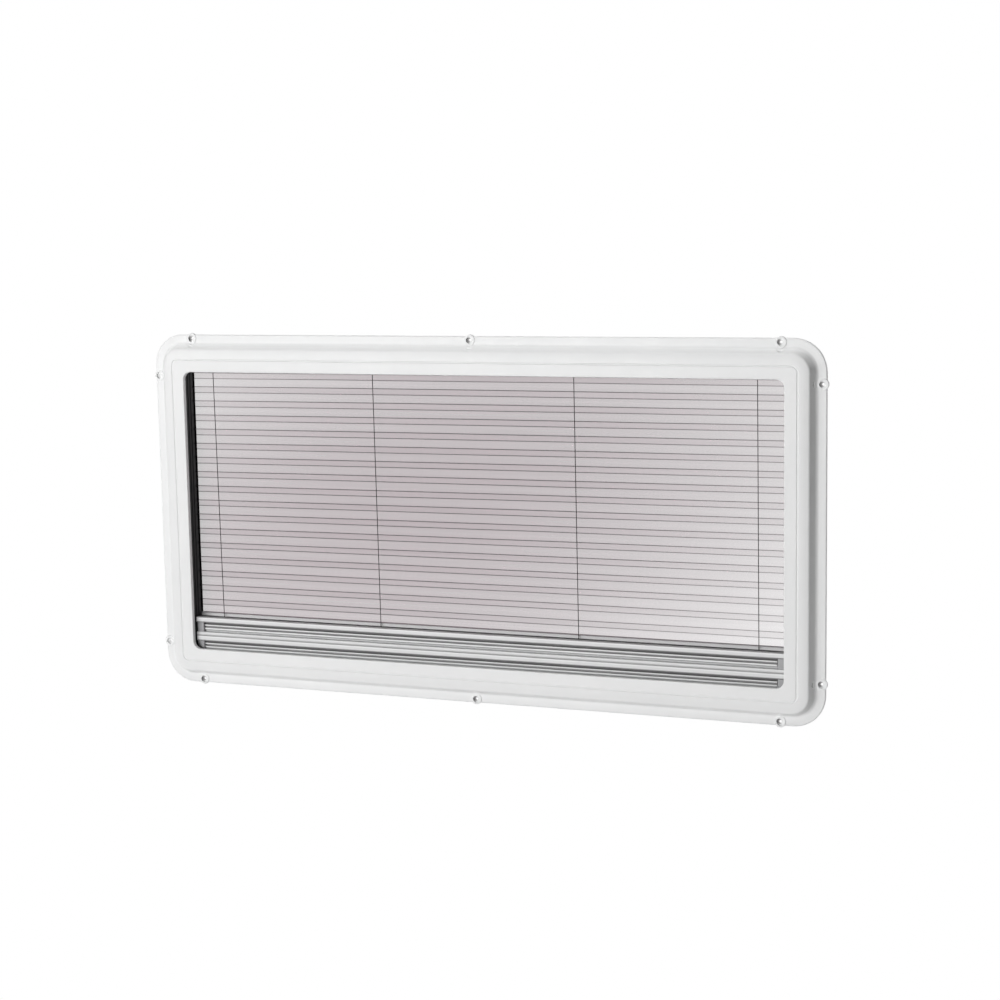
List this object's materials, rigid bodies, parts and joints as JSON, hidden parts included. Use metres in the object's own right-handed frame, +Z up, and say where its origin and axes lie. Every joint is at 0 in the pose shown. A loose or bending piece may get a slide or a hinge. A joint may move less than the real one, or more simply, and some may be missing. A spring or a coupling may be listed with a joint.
{
  "type": "caravan window surround with pleated blind cassette",
  "caption": "Moulded white surround for a caravan window, with a cassette behind it that carries a pleated flyscreen and a folded blackout blind.",
  "frame": {"origin": "on the flat back of the surround's flange, in the middle of its bottom strip, in the plane of the wall's inner face", "axes": "+Z up, +Y through the wall to the outside, +X to the right seen from the room"},
  "size_m": [1.0126, 0.044, 0.5276],
  "materials": {
    "white_moulding": "fine satin",
    "white_rail": "satin white coating",
    "black_guide": "matt black",
    "grey_plastic": "satin",
    "bar_metal": "satin light grey coating",
    "screen_mesh": "fine pleated mesh",
    "blackout_cloth": "pleated cloth with a metallised back",
    "cord": "braided"
  },
  "bodies": {
    "root": {"surround_frame": "white_moulding", "top_rail": "white_rail", "bottom_rail": "white_rail", "left_guide": "black_guide", "right_guide": "black_guide", "top_left_bracket": "grey_plastic", "top_right_bracket": "grey_plastic", "bottom_left_bracket": "grey_plastic", "bottom_right_bracket": "grey_plastic", "flyscreen": "screen_mesh", "flyscreen_head_strip": "grey_plastic", "flyscreen_clamp_strip": "grey_plastic", "flyscreen_bar": "bar_metal", "flyscreen_grip": "bar_metal", "flyscreen_left_plug": "grey_plastic", "flyscreen_right_plug": "grey_plastic", "blackout_cloth": "blackout_cloth", "blackout_foot_strip": "grey_plastic", "blackout_clamp_strip": "grey_plastic", "blackout_bar": "bar_metal", "blackout_grip": "bar_metal", "blackout_left_plug": "grey_plastic", "blackout_right_plug": "grey_plastic", "outer_left_cord": "cord", "inner_left_cord": "cord", "inner_right_cord": "cord", "outer_right_cord": "cord"}
  },
  "joints": []
}
